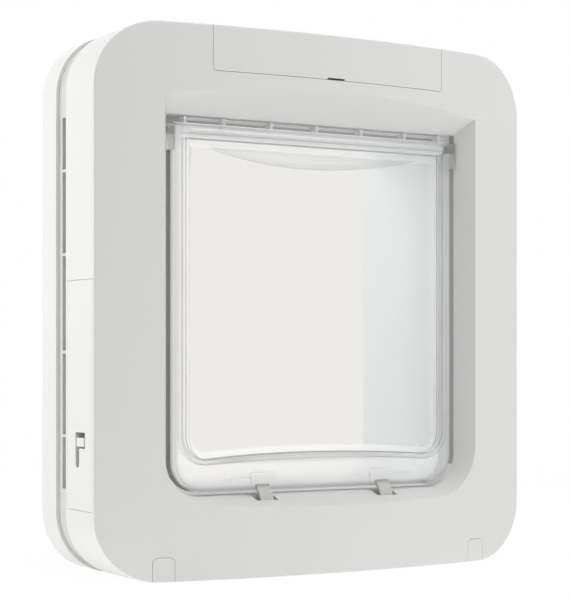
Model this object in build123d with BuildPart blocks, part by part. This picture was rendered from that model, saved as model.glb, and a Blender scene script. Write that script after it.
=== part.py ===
from build123d import *
from math import cos, radians, sin, sqrt
import os

os.makedirs("parts", exist_ok=True)

# Frame outline round the flap opening, seen from the room (millimetres)
opening_width = 178.8
opening_height = 194.7
cheek_width = 41.6
sill_height = 41.8
header_height = 44.5
corner_radius = 33.0
edge_round = 0.8
wall = 2.6

# Depths of the stacked pieces, from the room outwards
face_bulge = 16.0
housing_depth = 34.6
chassis_depth = 8.3
seal_depth = 4.3
outdoor_depth = 20.5
outdoor_bulge = 10.0
outdoor_edge_round = 3.0
tunnel_reach = 29.8

# Corners of the opening and the sloped dish round it
opening_corner = 18.0
dish_depth = 3.9
side_flare = 0.60
top_flare = 0.745
sill_flare = 0.316
corner_flare = 0.77

# Tunnel behind the flap
tunnel_wall = 2.6
tunnel_ease = 0.2
seam_gap = 0.2

# Clear flap
flap_front = 2.0
flap_thickness = 4.0
flap_side_gap = 3.5
flap_sill_gap = 1.5
flap_top_gap = 4.1
flap_rim_round = 1.2
flange_depth = 6.0
flange_wall = 1.4
rim_side = 8.9
rim_bottom = 15.7
rim_top = 7.9
window_corner = 13.0
pane_thickness = 2.5
pane_bulge = 10.0
pane_top_slope = 1.07
pane_bottom_slope = 0.3
hinge_depth = 8.0
hinge_below_top = 8.0
pin_radius = 2.0
pin_head_radius = 3.5
pin_head_length = 1.6
running_gap = 0.05
seat_gap = 0.02
lug_width = 5.5
lug_gap = 0.6
lug_height = 13.5
lug_back = 3.0
web_pitch = 28.1
web_end_gap = 4.6
web_thickness = 1.4
bar_size = 1.2
bar_gap = 0.7
bead_radius = 1.2
hood_width = 15.0
hood_wall = 1.4
hood_height = 5.6
hood_lift = 4.0
hood_reach = 3.5
step_width = 11.0
step_height = 3.0
step_reach = 2.0

# Latches in the sill and their drive
latch_spacing = 74.2
latch_offset = 2.0
latch_width = 7.6
latch_thickness = 1.8
latch_radius = 31.0
latch_flap_gap = 0.4
latch_rise = 4.5
latch_tip_angle = 139.1
latch_arm_angle = 172.0
latch_arm_thickness = 3.6
latch_slot_gap = 0.5
latch_slot_back_gap = 3.0
latch_slot_side_gap = 2.6
latch_slot_lead = 10.0
shaft_radius = 2.0
hub_radius = 4.0
shaft_left = 46.0
shaft_in_gearbox = 6.0
bearing_spacing = 48.0
bearing_width = 5.0
bearing_height = 12.0
gearbox_start = 52.0
gearbox_radius = 5.5
gearbox_length = 12.0
motor_radius = 5.0
motor_length = 24.0
motor_boss_radius = 2.5
motor_boss_length = 2.4
bracket_width = 6.0
bracket_wall = 1.6
bracket_neck = 7.0
bracket_foot = 14.0

# Ribbed rim of the chassis
rim_inset = 1.7
rim_width = 8.3
rim_pocket_depth = 5.0
rim_rib = 1.5
rim_rib_heights = (25.0, 68.0, 96.0)
rim_rib_offsets = (25.0, 62.0, 88.0)
plate_thickness = 2.4

# Door seal and outdoor frame sleeve
seal_inset = 1.7
seal_width = 9.3
sleeve_gap = 0.4
sleeve_wall = 2.4

# Screws that clamp the frames to a door, and the chassis screws
fixing_side_inset = 34.85
fixing_height_low = 7.2
fixing_tray_gap = 2.2
fixing_shelf_rise = 5.0
fixing_seat_depth = 4.0
fixing_radius = 2.0
fixing_hole_gap = 0.3
fixing_thread_gap = 0.03
fixing_grip = 14.0
fixing_head_radius = 3.6
fixing_head_length = 2.6
cross_length = 3.6
cross_width = 0.7
cross_depth = 1.7
boss_radius = 5.0
web_wall = 2.0
web_depth = 15.0
web_shelf_gap = 1.0
post_inset_side = 13.0
small_boss_radius = 3.4
small_screw_radius = 1.2
small_screw_length = 11.0
small_head_radius = 2.6
small_head_length = 1.8
small_boss_heights = (172.0, 232.0)
small_boss_low = 14.0
small_boss_spacing = 140.0

# Battery bay
cover_end_gap = 0.8
cover_height = 23.5
cover_corner = 2.0
cover_thickness = 2.2
cover_gap = 0.25
cover_hinge_depth = 27.5
cover_swing_gap = 0.4
cover_pip_radius = 1.0
cover_pip_length = 2.2
ear_width = 4.5
ear_depth = 8.0
ear_height = 6.0
notch_width = 10.4
notch_height = 1.2
cell_radius = 7.15
cell_length = 50.5
cell_gap = 0.4
nub_radius = 2.4
nub_length = 1.2
contact_length = 6.4
contact_plate = 0.6
contact_size = 9.0
spring_turns = 4
spring_taper = 0.55
tray_wall = 1.4
tray_height = 13.5
shelf_thickness = 2.2
tray_front_depth = 7.2
deck_length = 11.4
deck_width = 16.0
deck_front = 4.0
deck_height = 15.9

# Learn button under the battery cover
button_radius = 3.5
button_height = 1.8
button_stem_radius = 2.0
button_collar_radius = 2.7
button_collar = 0.6
button_lift = 1.2
button_travel = 0.6
button_slack = 0.1
switch_size = 6.0
switch_height = 2.4
switch_plunger = 0.5
switch_pad_margin = 1.0
lamp_radius = 1.5
lamp_height = 2.6
lamp_round = 1.2

# Small covers over the lower screws
screw_cover_width = 11.9
screw_cover_height = 12.5
screw_cover_corner = 3.0
screw_cover_thickness = 2.2
screw_cover_gap = 0.2
screw_cover_lift = 0.3
screw_hinge_depth = 1.6
screw_hinge_height = 2.2
screw_pip_radius = 0.7
screw_pip_length = 1.6
screw_bay_depth = 4.3

# Side cover with the lock slot
side_cover_front = 1.8
side_cover_back = 2.0
side_cover_low = 35.6
side_cover_height = 116.0
side_cover_thickness = 2.4
side_cover_gap = 0.2
ledge = 1.5
lock_window_front = 10.8
lock_window_width = 11.6
lock_window_low = 66.9
lock_window_height = 8.1
lock_tail_width = 4.6
lock_tail_length = 9.7
thumb_width = 8.7
thumb_height = 4.4
thumb_lift = 1.0
lock_plate_sink = 7.0
lock_plate_thickness = 2.2
lock_plate_width = 12.8
lock_plate_height = 26.0
lock_rail = 1.2
lock_rail_length = 40.0
lock_clearance = 0.2

# Reader coil and electronics
coil_start = 24.0
coil_depth = 5.0
coil_thickness = 3.2
coil_gap = 0.3
board_height = 104.0
board_thickness = 1.6
board_lift = 8.0
board_coil_gap = 3.8
board_wall_gap = 2.9
board_low = 60.0
post_radius = 2.5
post_inset = 4.0
chip_size = 12.0
chip_height = 1.4
capacitor_radius = 4.0
capacitor_height = 10.0
capacitor_pitch = 12.0
connector_size = (10.0, 6.0, 7.0)

# Dark strip behind the gap over the flap
strip_depth = 13.0
strip_thickness = 3.0
strip_height = 3.9
strip_end_gap = 3.4

frame_width = opening_width + 2 * cheek_width
frame_height = sill_height + opening_height + header_height
half_width = frame_width / 2
half_height = frame_height / 2
total_depth = face_bulge + housing_depth + chassis_depth + seal_depth + outdoor_depth + tunnel_reach
y_front = -total_depth / 2
y_edge = y_front + face_bulge
y_collar = y_edge + dish_depth
y_chassis = y_edge + housing_depth
y_seal = y_chassis + chassis_depth
y_outdoor = y_seal + seal_depth
y_outdoor_edge = y_outdoor + outdoor_depth
y_outdoor_crown = y_outdoor_edge + outdoor_bulge
y_tunnel_end = y_outdoor_edge + tunnel_reach
opening_half = opening_width / 2
opening_top = sill_height + opening_height
ceiling = opening_top + tunnel_ease
tunnel_outside = tunnel_ease + tunnel_wall

ALONG_X = (0, 90, 0)
ALONG_Y = (-90, 0, 0)
FROM_BASE = (Align.CENTER, Align.CENTER, Align.MIN)
FROM_CORNER = (Align.MIN, Align.MIN, Align.MIN)


def depth_plane(y):
    """Upright plane at depth y that faces the room."""
    return Plane.XZ.offset(-y)


def bow(x, edge_y, crown_y, inset=0.0):
    """Depth at x of a face that bows from its side edges to its crown, set in by inset."""
    rise = crown_y - edge_y
    radius = (half_width**2 + rise**2) / (2 * rise)
    reach = sqrt((abs(radius) - inset) ** 2 - x**2)
    return crown_y - radius + (reach if rise > 0 else -reach)


def face_y(x, inset=0.0):
    """Depth of the room-side face at x."""
    return bow(x, y_edge, y_front, inset)


def bowed_block(flat_y, edge_y, crown_y, inset=0.0):
    """Solid with the frame's outline, flat on one side and bowed on the other."""
    reach = half_width + wall
    side_y = bow(reach, edge_y, crown_y, inset)
    crown = (0, bow(0, edge_y, crown_y, inset))
    back = max(flat_y, crown_y) + wall
    with BuildPart() as solid:
        with BuildSketch(Plane.XY.offset(-wall)):
            with BuildLine():
                ThreePointArc((-reach, side_y), crown, (reach, side_y))
                Polyline((reach, side_y), (reach, flat_y), (-reach, flat_y), (-reach, side_y))
            make_face()
        extrude(amount=frame_height + 2 * wall)
        extrude(outline_face(back, inset), amount=abs(crown_y - flat_y) + 2 * wall, mode=Mode.INTERSECT)
    return solid.part


def outline_face(y, inset):
    """The frame's rounded outline at depth y, set in by inset."""
    with BuildSketch(depth_plane(y)) as section:
        with Locations((0, half_height)):
            RectangleRounded(frame_width - 2 * inset, frame_height - 2 * inset, corner_radius - inset)
    return section.sketch


def arch_face(y, half, low, high, turn):
    """Upright section at depth y with square upper corners and round lower ones."""
    with BuildSketch(depth_plane(y)) as section:
        with Locations((0, (low + high) / 2)):
            Rectangle(2 * half, high - low)
        fillet(section.vertices().group_by(Axis.Y)[0], turn)
    return section.sketch


def opening_face(y, grow):
    """Section of the flap opening at depth y, grown all round."""
    return arch_face(y, opening_half + grow, sill_height - grow, opening_top + grow, opening_corner + grow)


def dish_face(y, grow):
    """Section of the sloped dish at depth y, grown all round."""
    run = y_collar - y
    return arch_face(
        y,
        opening_half + side_flare * run + grow,
        sill_height - sill_flare * run - grow,
        opening_top + top_flare * run + grow,
        opening_corner + corner_flare * run + grow,
    )


def dish_cone(grow):
    """Solid of the dish, from its collar to just in front of the bowed face."""
    near = dish_face(y_collar, grow)
    far = dish_face(y_front - wall, grow)
    with BuildPart() as cone:
        loft([near.face(), far.face()], ruled=True)
    return cone.part


def block(low, high, mode=Mode.ADD):
    """Box between two opposite corners, in the piece being built."""
    spans = [end - start for start, end in zip(low, high)]
    with Locations(low):
        Box(*spans, align=FROM_CORNER, mode=mode)


def rod(start, radius, length, turn=(0, 0, 0), mode=Mode.ADD):
    """Round rod from a start point, in the piece being built."""
    with Locations(start):
        Cylinder(radius, length, rotation=turn, align=FROM_BASE, mode=mode)


def save(piece, name):
    """Label a finished piece and write its file."""
    piece.part.label = name
    export_step(piece.part, f"parts/{name}.step")


# Battery bay places
tray_inner_half = cell_length + contact_length
tray_half = tray_inner_half + tray_wall
tray_front = y_edge - tray_front_depth
tray_inner_front = tray_front + tray_wall
tray_inner_depth = 4 * cell_radius + 4 * cell_gap
tray_back = tray_inner_front + tray_inner_depth + tray_wall
cell_rows = [tray_inner_front + cell_gap + cell_radius, tray_back - tray_wall - cell_gap - cell_radius]
cover_half = tray_half + deck_length + cover_end_gap
cover_low = frame_height - cover_height
cover_axis_y = y_edge + cover_hinge_depth
cover_axis_z = frame_height - cover_thickness
cover_back = cover_axis_y + cover_thickness + cover_swing_gap
tray_low = cover_low
cell_z = tray_low + tray_wall + cell_radius
deck_z = tray_low + deck_height - tray_wall
deck_y = y_edge + deck_front
button_x = tray_half + deck_length / 2
button_y = deck_y + deck_width / 2
stem_low = deck_z - button_slack
pad_z = stem_low - button_collar - button_travel - button_slack - switch_plunger - switch_height

# Points shared by the screws and the pieces that they pass through
fixing_low_x = half_width - fixing_side_inset
fixing_high_x = tray_half + fixing_tray_gap + boss_radius
fixing_high_z = cover_low + fixing_shelf_rise
fixing_low_points = [(side * fixing_low_x, fixing_height_low) for side in (-1, 1)]
fixing_high_points = [(side * fixing_high_x, fixing_high_z) for side in (-1, 1)]
fixing_points = fixing_low_points + fixing_high_points
post_x = half_width - post_inset_side
small_points = [(side * post_x, height) for height in small_boss_heights for side in (-1, 1)]
small_points += [(side * small_boss_spacing / 2, small_boss_low) for side in (-1, 1)]
y_seat = y_edge + fixing_seat_depth

# Flap places
flap_y = y_edge + flap_front
flap_back = flap_y + flap_thickness
flap_half = opening_half - flap_side_gap
flap_low = sill_height + flap_sill_gap
flap_high = opening_top - flap_top_gap
hinge_y = y_edge + hinge_depth
hinge_z = opening_top - hinge_below_top
lug_outer = opening_half + tunnel_ease - lug_gap

# Latch drive places
latch_inner = latch_radius - latch_thickness / 2
latch_axis_y = flap_y - latch_flap_gap - latch_inner * cos(radians(latch_tip_angle))
latch_axis_z = sill_height + latch_rise - latch_radius * sin(radians(latch_tip_angle))

# Side cover places
cover_face_x = -half_width
side_cover_y = y_edge + side_cover_front
y_side_end = y_chassis - side_cover_back
side_cover_top = side_cover_low + side_cover_height
thumb_y = y_edge + lock_window_front + (lock_window_width - thumb_width) / 2
thumb_z = lock_window_low + thumb_lift
lock_plate_x = cover_face_x + lock_plate_sink
lock_plate_y = thumb_y + (thumb_width - lock_plate_width) / 2
lock_plate_z = thumb_z + (thumb_height - lock_plate_height) / 2

# Circuit board places
board_start = opening_half + tunnel_outside + coil_gap + coil_thickness + board_coil_gap
board_end = half_width - wall - board_wall_gap
board_mid = (board_start + board_end) / 2
y_post = y_chassis - board_lift
y_board = y_post - board_thickness


def screw_cover_plane(side):
    """Plane on the bowed face at the foot of one small cover, facing the room."""
    x = side * fixing_low_x
    slope = (face_y(x + wall) - face_y(x - wall)) / (2 * wall)
    along = Vector(1, slope, 0).normalized()
    return Plane(origin=(x, face_y(x), 0), x_dir=along, z_dir=along.cross(Vector(0, 0, 1)))


def screw_cover_prism(side, inset, low, depth):
    """Upright block behind one small cover's outline, with round upper corners."""
    half = screw_cover_width / 2 - inset
    high = screw_cover_height - inset
    with BuildPart() as prism:
        with BuildSketch(screw_cover_plane(side).offset(-depth)) as door:
            with Locations((0, (low + high) / 2)):
                Rectangle(2 * half, high - low)
            fillet(door.vertices().group_by(Axis.Y)[-1], screw_cover_corner - inset)
        extrude(amount=depth + wall)
    return prism.part


def screw_cover_pins(side, radius, length):
    """The two hinge pips of one small cover, as one rod along its foot."""
    spot = screw_cover_plane(side).offset(-screw_hinge_depth)
    centre = spot.from_local_coords((0, screw_hinge_height, 0))
    with BuildPart() as pins:
        with BuildSketch(Plane(origin=centre, z_dir=spot.x_dir)):
            Circle(radius)
        extrude(amount=screw_cover_width / 2 + length, both=True)
    return pins.part


def latch_middle(side):
    """Place along X of the middle of one latch."""
    return latch_offset + side * latch_spacing / 2


def latch_profile(front_gap, back_gap, lead):
    """Side view of the latch tongue: a strip that curves about the latch shaft."""
    inner = latch_inner - back_gap
    outer = latch_inner + latch_thickness + front_gap
    start = latch_tip_angle - lead
    sweep = latch_arm_angle - start
    with BuildSketch(Plane.YZ) as strip:
        with BuildLine():
            CenterArc((latch_axis_y, latch_axis_z), inner, start, sweep)
            CenterArc((latch_axis_y, latch_axis_z), outer, start, sweep)
            for angle in (start, start + sweep):
                across = (cos(radians(angle)), sin(radians(angle)))
                Line(
                    (latch_axis_y + inner * across[0], latch_axis_z + inner * across[1]),
                    (latch_axis_y + outer * across[0], latch_axis_z + outer * across[1]),
                )
        make_face()
    return strip.sketch


# Room-side housing
housing_solid = bowed_block(y_chassis, y_edge, y_front)
housing_hollow = bowed_block(y_chassis, y_edge, y_front, wall)
shelf_block = bowed_block(tray_back, y_edge, y_front, wall / 2)
dish_space = dish_cone(0.0)
dish_shell = dish_cone(wall)
screw_bays = [screw_cover_prism(side, 0.0, -wall, screw_bay_depth) for side in (-1, 1)]
screw_pin_bore = screw_pip_radius + running_gap
screw_pin_holes = [screw_cover_pins(side, screw_pin_bore, screw_pip_length) for side in (-1, 1)]
latch_slot = latch_profile(latch_slot_gap, latch_slot_back_gap, latch_slot_lead)
cover_opening = arch_face(cover_back, cover_half, cover_low, frame_height + wall, cover_corner)

with BuildPart() as housing_blank:
    add(housing_solid)
    fillet(housing_blank.faces().sort_by(Axis.Y)[0].edges(), edge_round)

with BuildPart() as dish_wall:
    add(dish_shell)
    add(housing_solid, mode=Mode.INTERSECT)

with BuildPart() as shelf:
    add(shelf_block)
    block(
        (-tray_half, y_front, tray_low - shelf_thickness),
        (tray_half, tray_back, tray_low),
        mode=Mode.INTERSECT,
    )

with BuildPart() as front_housing:
    add(housing_blank.part)
    add(housing_hollow, mode=Mode.SUBTRACT)
    add(dish_wall.part)
    add(shelf.part)
    extrude(cover_opening, amount=cover_back - y_front + wall, mode=Mode.SUBTRACT)
    for bay in screw_bays:
        add(bay, mode=Mode.SUBTRACT)

    # Ledge that the side cover seats on
    ledge_x = cover_face_x + wall
    block(
        (ledge_x - wall / 2, side_cover_y - ledge / 2, side_cover_low - ledge),
        (ledge_x + ledge, y_side_end + ledge / 2, side_cover_top + ledge),
    )
    block(
        (ledge_x - wall, side_cover_y + ledge, side_cover_low + ledge),
        (ledge_x + 2 * ledge, y_side_end - ledge, side_cover_top - ledge),
        mode=Mode.SUBTRACT,
    )
    block(
        (cover_face_x - wall, side_cover_y, side_cover_low),
        (ledge_x, y_side_end, side_cover_top),
        mode=Mode.SUBTRACT,
    )

    # Tubes for the clamping screws, with webs that carry the upper two
    for x, z in fixing_points:
        rod((x, y_seat, z), boss_radius, y_chassis - y_seat, ALONG_Y)
    for x, z in fixing_high_points:
        web_back = y_seat + web_depth
        web_low = opening_top + tunnel_outside + seam_gap
        web_high = cover_low - web_shelf_gap
        block((x - web_wall / 2, face_y(x, wall / 2), web_low), (x + web_wall / 2, web_back, web_high))
        block((x - web_wall / 2, y_seat, web_low), (x + web_wall / 2, web_back, z))
    for x, z in small_points:
        rod((x, face_y(x, wall / 2), z), small_boss_radius, y_chassis - face_y(x, wall / 2), ALONG_Y)

    # Pad for the button's switch and ears for the battery cover
    pad_half = switch_size / 2 + switch_pad_margin
    block(
        (button_x - pad_half, button_y - pad_half, fixing_high_z),
        (button_x + pad_half, button_y + pad_half, pad_z),
    )
    for side in (-1, 1):
        ear_x = min(side * cover_half, side * (cover_half + ear_width))
        block(
            (ear_x, cover_axis_y - ear_depth / 2, cover_axis_z - ear_height / 2),
            (ear_x + ear_width, cover_axis_y + ear_depth / 2, frame_height - edge_round),
        )

    # Openings and holes
    add(dish_space, mode=Mode.SUBTRACT)
    for x, z in fixing_points:
        rod((x, y_seat, z), fixing_radius + fixing_hole_gap, housing_depth, ALONG_Y, mode=Mode.SUBTRACT)
    for x, z in small_points:
        hole_start = (x, y_chassis - small_screw_length, z)
        rod(hole_start, small_screw_radius + seat_gap, small_screw_length, ALONG_Y, mode=Mode.SUBTRACT)
    for pin_hole in screw_pin_holes:
        add(pin_hole, mode=Mode.SUBTRACT)
    pip_reach = cover_half + cover_pip_length
    pip_start = (-pip_reach, cover_axis_y, cover_axis_z)
    rod(pip_start, cover_pip_radius + running_gap, 2 * pip_reach, ALONG_X, mode=Mode.SUBTRACT)
    for side in (-1, 1):
        slot_x = latch_middle(side) - latch_width / 2 - latch_slot_side_gap
        slot_face = latch_slot.moved(Location((slot_x, 0, 0)))
        extrude(slot_face, amount=latch_width + 2 * latch_slot_side_gap, mode=Mode.SUBTRACT)
save(front_housing, "front_housing")

# Battery cover, hinged at its back edge
cover_inside = bowed_block(y_chassis, y_edge, y_front, cover_thickness)
cover_face = arch_face(
    cover_axis_y,
    cover_half - cover_gap,
    cover_low + cover_gap,
    frame_height + wall,
    cover_corner - cover_gap,
)
with BuildPart() as battery_cover:
    add(housing_blank.part)
    add(cover_inside, mode=Mode.SUBTRACT)
    extrude(cover_face, amount=cover_axis_y - y_front + wall, mode=Mode.INTERSECT)
    barrel_half = cover_half - cover_gap
    rod((-barrel_half, cover_axis_y, cover_axis_z), cover_thickness, 2 * barrel_half, ALONG_X)
    pip_half = cover_half + cover_pip_length - cover_gap
    rod((-pip_half, cover_axis_y, cover_axis_z), cover_pip_radius, 2 * pip_half, ALONG_X)
    block(
        (-notch_width / 2, y_front - wall, cover_low),
        (notch_width / 2, y_front + 2 * cover_thickness, cover_low + notch_height),
        mode=Mode.SUBTRACT,
    )
save(battery_cover, "battery_cover")

# Small covers over the lower screws
for side, name in ((-1, "screw_cover_left"), (1, "screw_cover_right")):
    prism = screw_cover_prism(side, screw_cover_gap, screw_cover_lift, screw_cover_thickness)
    pins = screw_cover_pins(side, screw_pip_radius, screw_pip_length - screw_cover_gap)
    with BuildPart() as screw_cover:
        add(housing_blank.part)
        add(prism, mode=Mode.INTERSECT)
        add(pins)
    save(screw_cover, name)

# Side cover with the lock slot and its rails
with BuildPart() as left_side_cover:
    side_low = side_cover_low + side_cover_gap
    block(
        (cover_face_x, side_cover_y + side_cover_gap, side_low),
        (cover_face_x + side_cover_thickness, y_side_end - side_cover_gap, side_cover_top - side_cover_gap),
    )
    window_y = y_edge + lock_window_front
    tail_y = window_y + lock_window_width - lock_tail_width
    inside_x = cover_face_x + side_cover_thickness
    block(
        (cover_face_x, window_y, lock_window_low),
        (inside_x, window_y + lock_window_width, lock_window_low + lock_window_height),
        mode=Mode.SUBTRACT,
    )
    tail_radius = lock_tail_width / 2
    tail_low = lock_window_low - lock_tail_length + tail_radius
    block(
        (cover_face_x, tail_y, tail_low),
        (inside_x, tail_y + lock_tail_width, lock_window_low),
        mode=Mode.SUBTRACT,
    )
    tail_centre = (cover_face_x, tail_y + tail_radius, tail_low)
    rod(tail_centre, tail_radius, side_cover_thickness, ALONG_X, mode=Mode.SUBTRACT)
    rail_end = lock_plate_x + lock_plate_thickness + lock_clearance
    rail_low = thumb_z - lock_rail_length / 2
    for edge_y, outward in ((lock_plate_y, -1), (lock_plate_y + lock_plate_width, 1)):
        web_y = edge_y + outward * (lock_clearance + lock_rail / 2)
        block(
            (inside_x, web_y - lock_rail / 2, rail_low),
            (rail_end + lock_rail, web_y + lock_rail / 2, rail_low + lock_rail_length),
        )
        lip_y = edge_y - outward * lock_rail / 2
        block(
            (rail_end, min(web_y, lip_y), rail_low),
            (rail_end + lock_rail, max(web_y, lip_y), rail_low + lock_rail_length),
        )
save(left_side_cover, "left_side_cover")

with BuildPart() as lock_slider:
    lock_plate_end = lock_plate_x + lock_plate_thickness
    block(
        (lock_plate_x, lock_plate_y, lock_plate_z),
        (lock_plate_end, lock_plate_y + lock_plate_width, lock_plate_z + lock_plate_height),
    )
    block((cover_face_x, thumb_y, thumb_z), (lock_plate_x, thumb_y + thumb_width, thumb_z + thumb_height))
save(lock_slider, "lock_slider")

# Chassis: back plate, ribbed rim, tunnel and what stands on them
y_tunnel_front = y_collar + seam_gap
board_posts = [
    (x, z)
    for x in (board_start + post_inset, board_end - post_inset)
    for z in (board_low + post_inset, board_low + board_height - post_inset)
]
with BuildPart() as rear_chassis:
    extrude(outline_face(y_chassis + plate_thickness, rim_inset), amount=plate_thickness)
    extrude(outline_face(y_seal, rim_inset), amount=chassis_depth)
    rim_hollow = outline_face(y_seal, rim_inset + rim_width)
    extrude(rim_hollow, amount=chassis_depth - plate_thickness, mode=Mode.SUBTRACT)
    for side in (-1, 1):
        stops = sorted([s * height for height in rim_rib_heights for s in (-1, 1)])
        for low, high in zip(stops, stops[1:]):
            x_rim = side * (half_width - rim_inset)
            x_low, x_high = sorted((x_rim + side * rim_inset, x_rim - side * rim_pocket_depth))
            block(
                (x_low, y_chassis, half_height + low + rim_rib / 2),
                (x_high, y_seal, half_height + high - rim_rib / 2),
                mode=Mode.SUBTRACT,
            )
        stops = sorted([s * offset for offset in rim_rib_offsets for s in (-1, 1)])
        for low, high in zip(stops, stops[1:]):
            z_rim = half_height + side * (half_height - rim_inset)
            z_low, z_high = sorted((z_rim + side * rim_inset, z_rim - side * rim_pocket_depth))
            block(
                (low + rim_rib / 2, y_chassis, z_low),
                (high - rim_rib / 2, y_seal, z_high),
                mode=Mode.SUBTRACT,
            )
    extrude(opening_face(y_tunnel_end, tunnel_outside), amount=y_tunnel_end - y_tunnel_front)

    # Posts for the circuit board and bearings for the latch shaft
    for x, z in board_posts:
        rod((x, y_post, z), post_radius, board_lift, ALONG_Y)
    for side in (-1, 1):
        bearing_x = side * bearing_spacing / 2 - bearing_width / 2
        block(
            (bearing_x, latch_axis_y - bearing_height / 2, latch_axis_z - bearing_height / 2),
            (bearing_x + bearing_width, y_chassis, latch_axis_z + bearing_height / 2),
        )
    shaft_reach = bearing_spacing / 2 + bearing_width
    shaft_hole_start = (-shaft_reach, latch_axis_y, latch_axis_z)
    rod(shaft_hole_start, shaft_radius + running_gap, 2 * shaft_reach, ALONG_X, mode=Mode.SUBTRACT)

    # Passage, hinge pin holes and screw holes
    passage = opening_face(y_tunnel_end, tunnel_ease)
    extrude(passage, amount=y_tunnel_end - y_tunnel_front, mode=Mode.SUBTRACT)
    pin_reach = opening_half + 2 * tunnel_outside
    rod((-pin_reach, hinge_y, hinge_z), pin_radius + seat_gap, 2 * pin_reach, ALONG_X, mode=Mode.SUBTRACT)
    for x, z in fixing_points:
        rod((x, y_chassis, z), fixing_radius + fixing_hole_gap, chassis_depth, ALONG_Y, mode=Mode.SUBTRACT)
    for x, z in small_points:
        rod((x, y_chassis, z), small_screw_radius + seat_gap, chassis_depth, ALONG_Y, mode=Mode.SUBTRACT)
        head_start = (x, y_chassis + plate_thickness, z)
        rod(head_start, small_head_radius + fixing_hole_gap, chassis_depth, ALONG_Y, mode=Mode.SUBTRACT)
save(rear_chassis, "rear_chassis")

# Soft ring between the ribbed rim and the outdoor frame
with BuildPart() as door_seal:
    extrude(outline_face(y_outdoor, seal_inset), amount=seal_depth)
    extrude(outline_face(y_outdoor, seal_inset + seal_width), amount=seal_depth, mode=Mode.SUBTRACT)
    for x, z in fixing_low_points:
        rod((x, y_seal, z), fixing_radius + 2 * fixing_hole_gap, seal_depth, ALONG_Y, mode=Mode.SUBTRACT)
save(door_seal, "door_seal")

# Outdoor frame with the sleeve that slides over the tunnel
outdoor_solid = bowed_block(y_outdoor, y_outdoor_edge, y_outdoor_crown)
outdoor_hollow = bowed_block(y_outdoor, y_outdoor_edge, y_outdoor_crown, wall)
sleeve_inside = tunnel_outside + sleeve_gap
sleeve_length = y_outdoor_crown - y_outdoor
with BuildPart() as outdoor_fittings:
    extrude(opening_face(y_outdoor_crown, sleeve_inside + sleeve_wall), amount=sleeve_length)
    for x, z in fixing_points:
        rod((x, y_outdoor, z), boss_radius, sleeve_length, ALONG_Y)
    add(outdoor_solid, mode=Mode.INTERSECT)
with BuildPart() as outdoor_frame:
    add(outdoor_solid)
    fillet(outdoor_frame.faces().sort_by(Axis.Y)[-1].edges(), outdoor_edge_round)
    add(outdoor_hollow, mode=Mode.SUBTRACT)
    add(outdoor_fittings.part)
    extrude(opening_face(y_outdoor_crown, sleeve_inside), amount=sleeve_length, mode=Mode.SUBTRACT)
    for x, z in fixing_points:
        thread_radius = fixing_radius + fixing_thread_gap
        rod((x, y_outdoor, z), thread_radius, fixing_grip + wall, ALONG_Y, mode=Mode.SUBTRACT)
save(outdoor_frame, "outdoor_frame")

# Clear flap
window_half = flap_half - rim_side
window_low = flap_low + rim_bottom
window_high = flap_high - rim_top
flap_corner = opening_corner - flap_sill_gap


def pane_solid(half, front_y, edge_y, lift):
    """Space in front of a bowed pane surface, closed by its sloped upper and lower facets."""
    crown_y = edge_y + pane_bulge
    top_z = window_high + lift * sqrt(1 + pane_top_slope**2)
    low_z = window_low - lift * sqrt(1 + pane_bottom_slope**2)
    with BuildPart() as solid:
        with BuildSketch(Plane.XY.offset(window_low - rim_bottom)):
            with BuildLine():
                ThreePointArc((-half, edge_y), (0, crown_y), (half, edge_y))
                Polyline((half, edge_y), (half, front_y), (-half, front_y), (-half, edge_y))
            make_face()
        extrude(amount=flap_high - flap_low)
        with BuildSketch(Plane.YZ):
            Polygon(
                (front_y, top_z - pane_top_slope * (front_y - flap_y)),
                (front_y, low_z + pane_bottom_slope * (front_y - flap_y)),
                (crown_y, low_z + pane_bottom_slope * (crown_y - flap_y)),
                (crown_y, top_z - pane_top_slope * (crown_y - flap_y)),
                align=None,
            )
        extrude(amount=half, both=True, mode=Mode.INTERSECT)
    return solid.part


pane_lap = pane_thickness / 2
pane_outside = pane_solid(window_half + pane_lap, flap_y + pane_lap, flap_y + pane_thickness, pane_thickness)
pane_space = pane_solid(window_half, flap_y - hood_reach, flap_y, 0.0)
with BuildPart() as pane_inside:
    add(pane_space)
    window_column = arch_face(flap_back + pane_bulge, window_half, window_low, window_high, window_corner)
    extrude(window_column, amount=2 * (flap_thickness + pane_bulge), mode=Mode.INTERSECT)

lug_top = hinge_z + lug_back
flange_top = lug_top - lug_height
flange_reach = flange_depth + flap_thickness / 2
with BuildPart() as flap_flange:
    y_flange = flap_back + flange_depth
    extrude(arch_face(y_flange, flap_half, flap_low, flange_top, flap_corner), amount=flange_reach)
    flange_inside = arch_face(
        y_flange,
        flap_half - flange_wall,
        flap_low + flange_wall,
        flange_top + flange_wall,
        flap_corner - flange_wall,
    )
    extrude(flange_inside, amount=flange_reach, mode=Mode.SUBTRACT)

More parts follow.
